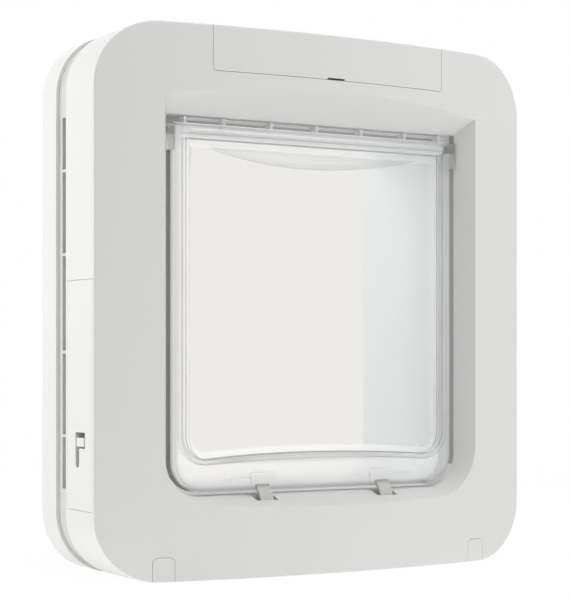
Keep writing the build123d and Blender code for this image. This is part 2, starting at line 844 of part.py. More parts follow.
web_end = lug_outer - lug_width - web_end_gap
web_count = int(web_end // web_pitch)
web_offsets = [step * web_pitch for step in range(-web_count, web_count + 1)] + [-web_end, web_end]
web_top = opening_top - bar_gap
with BuildPart() as flap:
    extrude(arch_face(flap_back, flap_half, flap_low, flap_high, flap_corner), amount=flap_thickness)
    fillet(flap.faces().sort_by(Axis.Y)[0].edges(), flap_rim_round)
    window_face = arch_face(flap_back, window_half, window_low, window_high, window_corner)
    extrude(window_face, amount=flap_thickness, mode=Mode.SUBTRACT)
    add(pane_outside)
    add(pane_inside.part, mode=Mode.SUBTRACT)
    add(flap_flange.part)

    # Ribbed bar along the top and the bead below it
    for x in web_offsets:
        block(
            (x - web_thickness / 2, flap_y + flap_rim_round, flap_high - rim_top / 2),
            (x + web_thickness / 2, hinge_y + bar_size, web_top),
        )
    bar_half = web_end + web_thickness
    block((-bar_half, hinge_y - bar_size, web_top - bar_size), (bar_half, hinge_y + bar_size, web_top))
    rod((-window_half, flap_y, flap_high - rim_top / 2), bead_radius, 2 * window_half, ALONG_X)

    # Hinge lugs at the two upper corners
    for side in (-1, 1):
        lug_x = min(side * lug_outer, side * (lug_outer - lug_width))
        block((lug_x, flap_y, lug_top - lug_height), (lug_x + lug_width, hinge_y + lug_back, lug_top))
        rod((lug_x, hinge_y, hinge_z), pin_radius + running_gap, lug_width, ALONG_X, mode=Mode.SUBTRACT)

    # Hoods over the latch tips, open below, with a step beside each
    hood_low = flap_low + hood_lift
    hood_high = hood_low + hood_height
    for side in (-1, 1):
        hood_x = latch_middle(side) - hood_width / 2
        hood_end = hood_x + hood_width
        block((hood_x, flap_y - hood_reach, hood_low), (hood_end, flap_y + hood_wall, hood_high))
        block(
            (hood_x + hood_wall, flap_y - hood_reach + hood_wall, hood_low),
            (hood_end - hood_wall, flap_y, hood_high - hood_wall),
            mode=Mode.SUBTRACT,
        )
        step_x = latch_middle(side) + side * (hood_width + step_width) / 2 - step_width / 2
        block(
            (step_x, flap_y - step_reach, hood_low),
            (step_x + step_width, flap_y + hood_wall, hood_low + step_height),
        )
save(flap, "flap")

for side, name in ((-1, "hinge_pin_left"), (1, "hinge_pin_right")):
    head_x = opening_half + tunnel_outside
    tip_x = lug_outer - lug_width + running_gap
    with BuildPart() as hinge_pin:
        rod((min(side * tip_x, side * head_x), hinge_y, hinge_z), pin_radius, head_x - tip_x, ALONG_X)
        head_end = head_x + pin_head_length
        head_start = (min(side * head_x, side * head_end), hinge_y, hinge_z)
        rod(head_start, pin_head_radius, pin_head_length, ALONG_X)
    save(hinge_pin, name)

# Dark strip under the tunnel's ceiling
strip_half = opening_half - strip_end_gap
with BuildPart() as draught_strip:
    block(
        (-strip_half, y_edge + strip_depth, ceiling - strip_height),
        (strip_half, y_edge + strip_depth + strip_thickness, ceiling),
    )
save(draught_strip, "draught_strip")

# Latches on their shaft
arm_length = latch_inner + latch_thickness
tongue = latch_profile(0.0, 0.0, 0.0)
for side, name in ((-1, "left_latch"), (1, "right_latch")):
    latch_x = latch_middle(side) - latch_width / 2
    with BuildPart() as latch:
        extrude(tongue.moved(Location((latch_x, 0, 0))), amount=latch_width)
        with BuildSketch(Plane.YZ.offset(latch_x)):
            with Locations(Location((latch_axis_y, latch_axis_z), latch_arm_angle)):
                Rectangle(arm_length, latch_arm_thickness, align=(Align.MIN, Align.CENTER))
            with Locations((latch_axis_y, latch_axis_z)):
                Circle(hub_radius)
        extrude(amount=latch_width)
        hub_start = (latch_x, latch_axis_y, latch_axis_z)
        rod(hub_start, shaft_radius + seat_gap, latch_width, ALONG_X, mode=Mode.SUBTRACT)
    save(latch, name)

with BuildPart() as latch_shaft:
    shaft_end = gearbox_start + shaft_in_gearbox
    rod((-shaft_left, latch_axis_y, latch_axis_z), shaft_radius, shaft_left + shaft_end, ALONG_X)
save(latch_shaft, "latch_shaft")

with BuildPart() as latch_gearbox:
    gearbox_face = (gearbox_start, latch_axis_y, latch_axis_z)
    socket_length = shaft_in_gearbox + seam_gap
    rod(gearbox_face, gearbox_radius, gearbox_length, ALONG_X)
    rod(gearbox_face, shaft_radius + running_gap, socket_length, ALONG_X, mode=Mode.SUBTRACT)
save(latch_gearbox, "latch_gearbox")

motor_start = gearbox_start + gearbox_length
with BuildPart() as latch_motor:
    rod((motor_start, latch_axis_y, latch_axis_z), motor_radius, motor_length, ALONG_X)
    motor_back = (motor_start + motor_length, latch_axis_y, latch_axis_z)
    rod(motor_back, motor_boss_radius, motor_boss_length, ALONG_X)
save(latch_motor, "latch_motor")

with BuildPart() as motor_bracket:
    bracket_x = gearbox_start + (gearbox_length - bracket_width) / 2
    bracket_end = bracket_x + bracket_width
    ring_face = (bracket_x, latch_axis_y, latch_axis_z)
    rod(ring_face, gearbox_radius + bracket_wall, bracket_width, ALONG_X)
    for reach_y, tall in ((latch_axis_y, bracket_neck), (y_chassis - bracket_wall, bracket_foot)):
        arm_low = latch_axis_z - tall / 2
        block((bracket_x, reach_y, arm_low), (bracket_end, y_chassis, arm_low + tall))
    rod(ring_face, gearbox_radius + seat_gap, bracket_width, ALONG_X, mode=Mode.SUBTRACT)
save(motor_bracket, "motor_bracket")

# Reader coil round the tunnel
with BuildPart() as antenna_coil:
    coil_back = y_edge + coil_start + coil_depth
    extrude(opening_face(coil_back, tunnel_outside + coil_gap + coil_thickness), amount=coil_depth)
    extrude(opening_face(coil_back, tunnel_outside + coil_gap), amount=coil_depth, mode=Mode.SUBTRACT)
save(antenna_coil, "antenna_coil")

# Circuit board and what is soldered to it
with BuildPart() as circuit_board:
    block((board_start, y_board, board_low), (board_end, y_post, board_low + board_height))
save(circuit_board, "circuit_board")

with BuildPart() as processor_chip:
    chip_z = board_low + board_height / 2
    block(
        (board_mid - chip_size / 2, y_board - chip_height, chip_z),
        (board_mid + chip_size / 2, y_board, chip_z + chip_size),
    )
save(processor_chip, "processor_chip")

with BuildPart() as board_capacitors:
    for step in (1, 2):
        capacitor_z = board_low + board_height / 2 - step * capacitor_pitch
        can_end = (board_mid, y_board - capacitor_height, capacitor_z)
        rod(can_end, capacitor_radius, capacitor_height, ALONG_Y)
save(board_capacitors, "board_capacitors")

with BuildPart() as lead_connector:
    connector_z = board_low + post_inset + 2 * post_radius
    block(
        (board_mid - connector_size[0] / 2, y_board - connector_size[1], connector_z),
        (board_mid + connector_size[0] / 2, y_board, connector_z + connector_size[2]),
    )
save(lead_connector, "lead_connector")

# Battery tray with its end decks, cells and contacts
with BuildPart() as battery_tray:
    block((-tray_half, tray_front, tray_low), (tray_half, tray_back, tray_low + tray_height))
    block(
        (-tray_inner_half, tray_inner_front, tray_low + tray_wall),
        (tray_inner_half, tray_back - tray_wall, tray_low + tray_height),
        mode=Mode.SUBTRACT,
    )
    for side in (-1, 1):
        deck_x = min(side * (tray_half - tray_wall), side * (tray_half + deck_length))
        deck_back = deck_y + deck_width
        deck_end = deck_x + tray_wall + deck_length
        block((deck_x, deck_y, deck_z), (deck_end, deck_back, deck_z + tray_wall))
        riser_x = min(side * (tray_half - tray_wall), side * tray_half)
        block((riser_x, deck_y, tray_low), (riser_x + tray_wall, deck_back, deck_z + tray_wall))
    rod((button_x, button_y, deck_z), button_stem_radius + running_gap, tray_wall, mode=Mode.SUBTRACT)
    rod((-button_x, button_y, deck_z), lamp_radius + seat_gap, tray_wall, mode=Mode.SUBTRACT)
save(battery_tray, "battery_tray")

cell_places = [(side, row) for row in cell_rows for side in (-1, 1)]
for number, (side, row) in enumerate(cell_places, start=1):
    forward = 1 if row == cell_rows[0] else -1
    start_x = min(0, side * cell_length)
    with BuildPart() as cell:
        can_x = start_x if forward > 0 else start_x + nub_length
        rod((can_x, row, cell_z), cell_radius, cell_length - nub_length, ALONG_X)
        nub_x = can_x + cell_length - nub_length if forward > 0 else start_x
        rod((nub_x, row, cell_z), nub_radius, nub_length, ALONG_X)
    save(cell, f"battery_{number}")

with BuildPart() as battery_springs:
    for row, side in zip(cell_rows, (-1, 1)):
        coil_run = contact_length - contact_plate - seam_gap
        pitch = coil_run / spring_turns
        foot = (side * (tray_inner_half - contact_plate), row, cell_z)
        with BuildSketch(Plane(origin=foot, x_dir=(-side, 0, 0), z_dir=(0, side, 0))):
            with BuildLine():
                rim_points = [(0, 0), (0, contact_size / 2)]
                for turn in range(spring_turns):
                    wide = contact_size / 2 - turn * spring_taper
                    rim_points.append(((turn + 0.5) * pitch, wide - contact_plate))
                    rim_points.append(((turn + 1) * pitch, wide - contact_plate / 2))
                Polyline(*rim_points, (coil_run, 0), (0, 0))
            make_face()
        revolve(axis=Axis(foot, (1, 0, 0)))
save(battery_springs, "battery_springs")

with BuildPart() as contact_plates:
    for side in (-1, 1):
        plate_x = min(side * tray_inner_half, side * (tray_inner_half - contact_plate))
        block(
            (plate_x, cell_rows[0] - contact_size / 2, cell_z - contact_size / 2),
            (plate_x + contact_plate, cell_rows[1] + contact_size / 2, cell_z + contact_size / 2),
        )
save(contact_plates, "contact_plates")

# Learn button, its switch and the status lamp
deck_top = deck_z + tray_wall
with BuildPart() as learn_button:
    rod((button_x, button_y, deck_top + button_lift), button_radius, button_height)
    rod((button_x, button_y, stem_low), button_stem_radius, deck_top + button_lift - stem_low)
    rod((button_x, button_y, stem_low - button_collar), button_collar_radius, button_collar)
save(learn_button, "learn_button")

with BuildPart() as button_switch:
    half_switch = switch_size / 2
    block(
        (button_x - half_switch, button_y - half_switch, pad_z),
        (button_x + half_switch, button_y + half_switch, pad_z + switch_height),
    )
    rod((button_x, button_y, pad_z + switch_height), button_stem_radius, switch_plunger)
save(button_switch, "button_switch")

with BuildPart() as status_lamp:
    rod((-button_x, button_y, deck_z), lamp_radius, tray_wall + lamp_height)
    fillet(status_lamp.edges().sort_by(Axis.Z)[-1], lamp_round)
save(status_lamp, "status_lamp")

# Screws
with BuildPart() as fixing_screws:
    shank = y_outdoor + fixing_grip - y_seat
    for x, z in fixing_points:
        rod((x, y_seat, z), fixing_radius, shank, ALONG_Y)
        y_head = y_seat - fixing_head_length
        rod((x, y_head, z), fixing_head_radius, fixing_head_length, ALONG_Y)
        for wide, tall in ((cross_length, cross_width), (cross_width, cross_length)):
            block(
                (x - wide / 2, y_head, z - tall / 2),
                (x + wide / 2, y_head + cross_depth, z + tall / 2),
                mode=Mode.SUBTRACT,
            )
save(fixing_screws, "fixing_screws")

with BuildPart() as chassis_screws:
    y_under_head = y_chassis + plate_thickness
    for x, z in small_points:
        rod((x, y_under_head - small_screw_length, z), small_screw_radius, small_screw_length, ALONG_Y)
        rod((x, y_under_head, z), small_head_radius, small_head_length, ALONG_Y)
save(chassis_screws, "chassis_screws")
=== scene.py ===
"""Looks of a white electronic cat flap: finishes, studio light and camera."""

import logging
from dataclasses import dataclass
from enum import Enum
from functools import cache
from math import pi, radians

import bpy
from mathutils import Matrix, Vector

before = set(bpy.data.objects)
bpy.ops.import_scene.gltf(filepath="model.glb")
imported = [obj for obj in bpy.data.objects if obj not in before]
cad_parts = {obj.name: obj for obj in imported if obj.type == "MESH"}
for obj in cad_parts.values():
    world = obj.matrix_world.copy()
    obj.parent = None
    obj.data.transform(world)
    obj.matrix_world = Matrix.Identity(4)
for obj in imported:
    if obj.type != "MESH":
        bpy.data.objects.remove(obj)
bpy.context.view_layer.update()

LOG = logging.getLogger("cat_flap")

Colour = tuple[float, float, float]
Point = tuple[float, float, float]
Shader = bpy.types.NodeSocket

BLACK: Colour = (0.0, 0.0, 0.0)
WHITE: Colour = (1.0, 1.0, 1.0)


class Axis(Enum):
    """Axes of the object."""

    X = "X"
    Y = "Y"
    Z = "Z"


class Ray(Enum):
    """Kinds of ray, by the Light Path output that tells them apart."""

    CAMERA = "Is Camera Ray"
    GLOSSY = "Is Glossy Ray"
    TRANSMITTED = "Is Transmission Ray"


class Maths(Enum):
    """Operations of a Math node."""

    SUM = "ADD"
    DIFFERENCE = "SUBTRACT"
    PRODUCT = "MULTIPLY"
    GREATER = "GREATER_THAN"
    SMALLER = "LESS_THAN"
    GREATEST = "MAXIMUM"
    LEAST = "MINIMUM"
    REMAINDER = "FLOORED_MODULO"
    SIZE = "ABSOLUTE"
    ROOT = "SQRT"


class Value:
    """A number socket that takes part in Python expressions."""

    def __init__(self, graph: "Tree", socket: bpy.types.NodeSocket) -> None:
        """Keep the socket and the tree that it belongs to."""
        self.graph = graph
        self.socket = socket

    def _join(self, operation: Maths, first: "Value | float", second: "Value | float" = 0.0) -> "Value":
        """Add a Math node.

        Args:
            operation: What the node does.
            first: Its first value.
            second: Its second value, which some operations ignore.

        Returns:
            The node's result.
        """
        made = self.graph.node("ShaderNodeMath", {"operation": operation.value}, {0: first, 1: second})
        return Value(self.graph, made.outputs[0])

    def __add__(self, other: "Value | float") -> "Value":
        """Sum."""
        return self._join(Maths.SUM, self, other)

    def __radd__(self, other: float) -> "Value":
        """Sum with the number first."""
        return self._join(Maths.SUM, other, self)

    def __sub__(self, other: "Value | float") -> "Value":
        """Difference."""
        return self._join(Maths.DIFFERENCE, self, other)

    def __rsub__(self, other: float) -> "Value":
        """Difference with the number first."""
        return self._join(Maths.DIFFERENCE, other, self)

    def __mul__(self, other: "Value | float") -> "Value":
        """Product."""
        return self._join(Maths.PRODUCT, self, other)

    def __rmul__(self, other: float) -> "Value":
        """Product with the number first."""
        return self._join(Maths.PRODUCT, other, self)

    def __gt__(self, other: "Value | float") -> "Value":
        """One where this is the greater, else zero."""
        return self._join(Maths.GREATER, self, other)

    def __lt__(self, other: "Value | float") -> "Value":
        """One where this is the smaller, else zero."""
        return self._join(Maths.SMALLER, self, other)

    def size(self) -> "Value":
        """This value without its sign."""
        return self._join(Maths.SIZE, self)

    def root(self) -> "Value":
        """Square root."""
        return self._join(Maths.ROOT, self)

    def at_least(self, other: "Value | float") -> "Value":
        """The greater of this value and another."""
        return self._join(Maths.GREATEST, self, other)

    def clamped(self) -> "Value":
        """This value held between zero and one."""
        return self._join(Maths.LEAST, self.at_least(0.0), 1.0)

    def repeated(self, span: float) -> "Value":
        """A saw that runs from zero to one over each span of this value."""
        return self._join(Maths.REMAINDER, self, span) * (1.0 / span)

    def near(self, middle: float, reach: float) -> "Value":
        """One where this is at the middle, down to zero at the reach either side."""
        return (1.0 - (self - middle).size() * (1.0 / reach)).clamped()


class Tree:
    """A node tree that nodes are added to."""

    def __init__(self, tree: bpy.types.NodeTree) -> None:
        """Empty the tree and keep it."""
        self.tree = tree
        self.tree.nodes.clear()

    def fill(self, socket: bpy.types.NodeSocket, given: object) -> None:
        """Link a socket or set its value.

        Args:
            socket: The socket to fill.
            given: A Value, another socket, a colour of three parts or any plain value.
        """
        if isinstance(given, Value):
            self.tree.links.new(given.socket, socket)
        elif isinstance(given, bpy.types.NodeSocket):
            self.tree.links.new(given, socket)
        elif socket.type == "RGBA":
            socket.default_value = (*given, 1.0)
        else:
            socket.default_value = given

    def node(self, kind: str, settings: dict | None = None, inputs: dict | None = None) -> bpy.types.Node:
        """Add a node, set it up and fill its sockets.

        Args:
            kind: The node's type name.
            settings: Attributes of the node.
            inputs: Numbers, colours, sockets or Values by socket name or index.

        Returns:
            The new node.
        """
        made = self.tree.nodes.new(kind)
        for key, setting in (settings or {}).items():
            setattr(made, key, setting)
        for key, given in (inputs or {}).items():
            self.fill(made.inputs[key], given)
        return made

    def laid_over(self, base: Shader, top: Shader, share: Value) -> Shader:
        """Lay a share of one shader over another.

        Args:
            base: The shader below.
            top: The shader above.
            share: How much of the upper one shows.

        Returns:
            The mixed shader.
        """
        return self.node("ShaderNodeMixShader", {}, {0: share, 1: base, 2: top}).outputs[0]

    def seen_by(self, base: Shader, shades: dict[Ray, Shader], share: "Value | float" = 1.0) -> Shader:
        """Show other shaders to certain kinds of ray.

        Args:
            base: The shader for all other rays.
            shades: A shader by the kind of ray that sees it; the last one that fits a ray wins.
            share: How much of each such shader is seen.

        Returns:
            The mixed shader.
        """
        path = self.node("ShaderNodeLightPath")
        for ray, shade in shades.items():
            base = self.laid_over(base, shade, Value(self, path.outputs[ray.value]) * share)
        return base


class Graph(Tree):
    """The node tree of one material, with its surface shader."""

    noise_falloff: float = 0.55

    def __init__(self, name: str) -> None:
        """Make a material with one Principled shader.

        Args:
            name: The material's name.
        """
        self.material = bpy.data.materials.new(name)
        self.material.use_nodes = True
        super().__init__(self.material.node_tree)
        self.shader = self.node("ShaderNodeBsdfPrincipled")
        self.output = self.node("ShaderNodeOutputMaterial", {}, {"Surface": self.shader.outputs[0]})
        self.place = self.node("ShaderNodeTexCoord").outputs["Object"]

    def noise(self, scale: float, octaves: float = 3.0, stretch: Point = (1.0, 1.0, 1.0)) -> Value:
        """Soft noise over the piece.

        Args:
            scale: Blotches per metre.
            octaves: Finer layers of the noise.
            stretch: Scale of each axis, for streaks.

        Returns:
            Noise between zero and one.
        """
        spot = self.node("ShaderNodeMapping", {}, {"Vector": self.place, "Scale": stretch}).outputs[0]
        made = self.node("ShaderNodeTexNoise", {}, {
            "Vector": spot,
            "Scale": scale,
            "Detail": octaves,
            "Roughness": self.noise_falloff,
        })
        return Value(self, made.outputs[0])

    def axis(self, axis: Axis) -> Value:
        """One coordinate of the piece, in metres."""
        made = self.node("ShaderNodeSeparateXYZ", {}, {"Vector": self.place})
        return Value(self, made.outputs[axis.value])

    def colours(self, factor: Value, low: object, high: object) -> bpy.types.NodeSocket:
        """Mix two colours by a factor.

        Args:
            factor: Share of the second colour.
            low: Colour or socket where the factor is zero.
            high: Colour or socket where the factor is one.

        Returns:
            The mixed colour's socket.
        """
        # A Mix node's colours are its inputs 6 and 7 and its output 2
        made = self.node("ShaderNodeMix", {"data_type": "RGBA"}, {0: factor, 6: low, 7: high})
        return made.outputs[2]

    def bump(self, height: Value, distance: float, strength: float = 1.0) -> None:
        """Feed the shader's normal from a height.

        Args:
            height: The height, between zero and one.
            distance: Height in metres of a value of one.
            strength: Share of the bump that shows.
        """
        inputs = {"Height": height, "Distance": distance, "Strength": strength}
        self.fill(self.shader.inputs["Normal"], self.node("ShaderNodeBump", {}, inputs).outputs[0])

    def feed(self, **inputs: object) -> None:
        """Fill sockets of the shader, with spaces in their names written as underscores."""
        for key, given in inputs.items():
            self.fill(self.shader.inputs[key.replace("_", " ")], given)


@dataclass(frozen=True)
class Finish:
    """A finish of one main colour, made once and shared by all nodes that wear it."""

    name: str
    colour: Colour

    def paint(self, graph: Graph) -> None:
        """Fill the new material's graph."""
        raise NotImplementedError

    @cache
    def material(self) -> bpy.types.Material:
        """Make the material at its first use.

        Returns:
            The material.
        """
        graph = Graph(self.name)
        self.paint(graph)
        return graph.material

    def dulled(self, share: float) -> Colour:
        """The main colour with each part times a share."""
        return tuple(part * share for part in self.colour)


@dataclass(frozen=True)
class MouldedPlastic(Finish):
    """Fine-grained moulded plastic with faint flow marks."""

    roughness: float = 0.42
    specular: float = 0.4
    flow_per_metre: float = 9.0
    flow_dulling: float = 0.96
    grain_per_metre: float = 2600.0
    grain_height: float = 0.00003
    grain_roughness: float = 0.04
    patch_per_metre: float = 60.0
    patch_roughness: float = 0.05
    octaves: float = 2.0

    def paint(self, graph: Graph) -> None:
        """Mottle the colour, and let the grain vary the gloss and the surface.

        Args:
            graph: The new material's graph.
        """
        grain = graph.noise(self.grain_per_metre, self.octaves)
        patches = graph.noise(self.patch_per_metre)
        smoothest = self.roughness - self.grain_roughness
        graph.feed(
            Base_Color=self.tone(graph, graph.noise(self.flow_per_metre, self.octaves)),
            Roughness=smoothest + self.patch_roughness * patches + self.grain_roughness * grain,
            Specular_IOR_Level=self.specular,
        )
        graph.bump(grain, self.grain_height)

    def tone(self, graph: Graph, flow: Value) -> bpy.types.NodeSocket:
        """The colour, a little duller along the flow marks."""
        return graph.colours(flow, self.dulled(self.flow_dulling), self.colour)


@dataclass(frozen=True)
class ShadePaintedPlastic(MouldedPlastic):
    """Moulded plastic of the chassis with painted shade: a greyer outer rim for the shade in the recess
    round it, and grey at the front of the tunnel wall for the shade in the gap by the flap.
    """

    grain_per_metre: float = 2400.0
    flow_share: float = 0.05
    # Painted shade: grey of the outer rim, for the shade in the recess between the housing and the outdoor
    # frame
    rim: Colour = (0.64, 0.645, 0.615)
    rim_half: float = 0.12
    rim_low: float = 0.012
    rim_high: float = 0.269
    # Painted shade: grey at the front of the tunnel wall, for the shade in the narrow gap by the flap's side
    # edges
    lip_shade: Colour = (0.48, 0.49, 0.48)
    lip_half: float = 0.0885
    lip_back: float = -0.0322

    def tone(self, graph: Graph, flow: Value) -> bpy.types.NodeSocket:
        """The colours of the middle, and of the painted shade on the rim and at the front of the tunnel
        wall, a little darker along the flow marks.

        Args:
            graph: The new material's graph.
            flow: The flow marks, between zero and one.

        Returns:
            The colour's socket.
        """
        side = graph.axis(Axis.X).size()
        height = graph.axis(Axis.Z)
        # Where the painted shade of the rim and of the tunnel wall's front falls
        outside = (side > self.rim_half) + (height < self.rim_low) + (height > self.rim_high)
        beside = (side > self.lip_half) * (graph.axis(Axis.Y) < self.lip_back)
        body = graph.colours(outside.clamped(), self.colour, self.rim)
        return graph.colours(self.flow_share * flow, graph.colours(beside, body, self.lip_shade), BLACK)


@dataclass(frozen=True)
class ClearPlastic(Finish):
    """Clear moulded plastic with faint flow waves."""

    roughness: float = 0.02
    index: float = 1.49
    wave_per_metre: float = 35.0
    wave_octaves: float = 1.5
    wave_stretch: Point = (1.0, 1.0, 0.6)
    wave_height: float = 0.0004
    wave_strength: float = 0.12
    wave_dulling: float = 0.985
    haze_per_metre: float = 80.0
    haze_roughness: float = 0.015

    def paint(self, graph: Graph) -> None:
        """Make the shader clear and wave its surface.

        Args:
            graph: The new material's graph.
        """
        waves = graph.noise(self.wave_per_metre, self.wave_octaves, self.wave_stretch)
        graph.feed(
            Base_Color=graph.colours(waves, self.dulled(self.wave_dulling), self.colour),
            Roughness=self.roughness + self.haze_roughness * graph.noise(self.haze_per_metre),
            Transmission_Weight=1.0,
            IOR=self.index,
        )
        graph.bump(waves, self.wave_height, self.wave_strength)


@dataclass(frozen=True)
class Outline:
    """An upright outline with round lower corners, whose lower edge may rise towards its middle (metres)."""

    half: float
    low: float
    high: float
    turn: float
    rise: float = 0.0
    middle: float = 0.0

    def beyond(self, graph: Graph) -> Value:
        """Distance outside this outline.

        Args:
            graph: The material's graph.

        Returns:
            The distance in metres, below zero inside the outline.
        """
        height = graph.axis(Axis.Z)
        side = (graph.axis(Axis.X) - self.middle).size()
        across = (side - (self.half - self.turn)).at_least(0.0)
        arch = self.rise * (1.0 - side * side * (1.0 / self.half**2))
        down = (arch + (self.low + self.turn) - height).at_least(0.0)
        return ((across * across + down * down).root() - self.turn).at_least(height - self.high)


@dataclass(frozen=True)
class FlapPlastic(ClearPlastic):
    """Clear plastic of the flap: a clear pane in a frosted rim, with two painted dark lines of shade round
    the pane and painted shade on the cut edges.
    """

    pane: Outline = Outline(half=0.0797, low=0.0592, high=0.2245, turn=0.0135, rise=0.003, middle=0.0006)
    edge: Outline = Outline(half=0.0859, low=0.0433, high=0.25, turn=0.0165)
    # Frosting of the rim, which is thinner on the hinge lugs and on the facet at the top of the pane
    frost: Colour = (0.99, 0.995, 0.992)
    frost_roughness: float = 0.42
    frost_index: float = 1.1
    frost_per_metre: float = 50.0
    frost_least: float = 0.95
    frost_spread: float = 0.1
    rim_share: float = 0.9
    rim_lap: float = 0.0045
    rim_fade: float = 0.0012
    lug_thinning: float = 0.6
    facet_drop: float = 0.0107
    facet_share: float = 0.4
    # Milky skin of the rim and of the ribbed bar at the top
    milk: Colour = (0.92, 0.93, 0.925)
    milk_share: float = 0.1
    bar_low: float = 0.2326
    bar_share: float = 0.7
    # Painted shade: dark lines round the pane where its moulded step lies in shade, a fainter band between
    # them, and a line along the lower edge of the facet
    line_shade: Colour = (0.42, 0.43, 0.42)
    line: float = 0.0005
    line_share: float = 0.75
    second_line: float = 0.0026
    second_share: float = 0.6
    between_lines_share: float = 0.1
    facet_line_share: float = 0.22
    # Darkening towards the cut edge, stronger on the front face than on the flange behind it
    shadow: Colour = (0.3, 0.31, 0.3)
    shadow_reach: float = 0.0045
    front_share: float = 0.62
    flange_share: float = 0.25
    front_face: float = -0.0386
    # Painted shade on the cut edge of the flange, which lies deep in the narrow gap round the opening; it
    # ends below the lugs and at the right upright
    flange_shade: Colour = (0.26, 0.27, 0.26)
    flange_shade_depth: float = 0.0003
    flange_shade_front: float = -0.0348
    flange_shade_top: float = 0.2187
    flange_shade_right: float = 0.075
    flange_shade_share: float = 0.85
    matt_roughness: float = 0.35

    def paint(self, graph: Graph) -> None:
        """Lay the rim, its lines and its edges over the clear plastic.

        Args:
            graph: The new material's graph.
        """
        super().paint(graph)
        result = graph.shader.outputs[0]
        for share, layer in self.rim_layers(graph) + self.edge_layers(graph):
            result = graph.laid_over(result, layer, share)
        graph.fill(graph.output.inputs["Surface"], result)

    def rim_layers(self, graph: Graph) -> list[tuple[Value, Shader]]:
        """The frosted rim and the painted dark lines of shade round the pane.

        Args:
            graph: The material's graph.

        Returns:
            The share and the shader of each layer, the lowest first.
        """
        side = graph.axis(Axis.X)
        height = graph.axis(Axis.Z)
        out = self.pane.beyond(graph)
        rim = ((out + self.rim_lap) * (1.0 / self.rim_fade)).clamped()
        sag = self.facet_drop * (1.0 - side * side * (1.0 / self.pane.half**2))
        facet = height - self.pane.high + sag
        frosting = rim.at_least((facet * (1.0 / self.line)).clamped() * self.facet_share)
        thickness = self.rim_share - self.lug_thinning * (side.size() > self.edge.half)
        patches = self.frost_least + self.frost_spread * graph.noise(self.frost_per_metre)
        # Painted shade between the two lines round the pane, and painted dark lines on them and on the
        # facet's lower edge
        between_lines = (out > 0.0) * (out < self.second_line) * (height < self.pane.high)
        lines = out.near(0.0, self.line) + self.second_share * out.near(self.second_line, self.line)
        facet_line = facet.near(0.0, self.line) * (1.0 - rim)
        return [
            (frosting * thickness * patches, self.frosted(graph)),
            ((out > 0.0) * self.milk_share, self.matt(graph, self.milk)),
            (facet_line * self.facet_line_share, self.matt(graph, self.line_shade)),
            (between_lines * self.between_lines_share, self.matt(graph, self.line_shade)),
            (lines.clamped() * self.line_share, self.matt(graph, self.line_shade)),
        ]

    def edge_layers(self, graph: Graph) -> list[tuple[Value, Shader]]:
        """The painted shade on the cut edges, and the milky bar.

        Args:
            graph: The material's graph.

        Returns:
            The share and the shader of each layer, the lowest first.
        """
        side = graph.axis(Axis.X)
        depth = graph.axis(Axis.Y)
        height = graph.axis(Axis.Z)
        past = self.edge.beyond(graph)
        shadow = (past * (1.0 / self.shadow_reach) + 1.0).clamped()
        turned = self.flange_share + (self.front_share - self.flange_share) * (depth < self.front_face)
        # Painted shade on the flange's cut edge, behind the front face
        flange_shade = (past > -self.flange_shade_depth) * (depth > self.flange_shade_front)
        flange_shade = flange_shade * (height < self.flange_shade_top) * (side < self.flange_shade_right)
        return [
            (shadow * shadow * turned, self.matt(graph, self.shadow)),
            ((height > self.bar_low) * self.bar_share, self.matt(graph, self.milk)),
            (flange_shade * self.flange_shade_share, self.matt(graph, self.flange_shade)),
        ]

    def frosted(self, graph: Graph) -> Shader:
        """A rough clear shader."""
        return graph.node("ShaderNodeBsdfPrincipled", {}, {
            "Base Color": self.frost,
            "Roughness": self.frost_roughness,
            "Transmission Weight": 1.0,
            "IOR": self.frost_index,
        }).outputs[0]

    def matt(self, graph: Graph, colour: Colour) -> Shader:
        """A plain shader of one colour, for the milky layers and for the painted shade of lines and edges.
        """
        inputs = {"Base Color": colour, "Roughness": self.matt_roughness}
        return graph.node("ShaderNodeBsdfPrincipled", {}, inputs).outputs[0]


@dataclass(frozen=True)
class Rubber(Finish):
    """Matt closed-cell foam or rubber."""

    roughness: float = 0.75
    specular: float = 0.25
    cells_per_metre: float = 1400.0
    cell_roughness: float = 0.15
    cell_dulling: float = 0.88
    cell_height: float = 0.00012
    cell_strength: float = 0.7

    def paint(self, graph: Graph) -> None:
        """Let the cells vary the colour, the gloss and the surface.

        Args:
            graph: The new material's graph.
        """
        cells = graph.noise(self.cells_per_metre)
        graph.feed(
            Base_Color=graph.colours(cells, self.dulled(self.cell_dulling), self.colour),
            Roughness=self.roughness + self.cell_roughness * cells,
            Specular_IOR_Level=self.specular,
        )
        graph.bump(cells, self.cell_height, self.cell_strength)


@dataclass(frozen=True)
class PlatedMetal(Finish):
    """Plated or drawn metal with streaks along one axis."""

    roughness: float = 0.22
    streak_per_metre: float = 2200.0
    streak_stretch: Point = (0.05, 1.0, 1.0)
    streak_roughness: float = 0.14
    streak_height: float = 0.00002
    streak_strength: float = 0.6
    tarnish_per_metre: float = 120.0
    tarnish_dulling: float = 0.8

    def paint(self, graph: Graph) -> None:
        """Dull the metal in patches and draw its streaks.

        Args:
            graph: The new material's graph.
        """
        streaks = graph.noise(self.streak_per_metre, stretch=self.streak_stretch)
        tarnish = graph.noise(self.tarnish_per_metre)
        graph.feed(
            Base_Color=graph.colours(tarnish, self.dulled(self.tarnish_dulling), self.colour),
            Metallic=1.0,
            Roughness=self.roughness + self.streak_roughness * streaks,
        )
        graph.bump(streaks, self.streak_height, self.streak_strength)


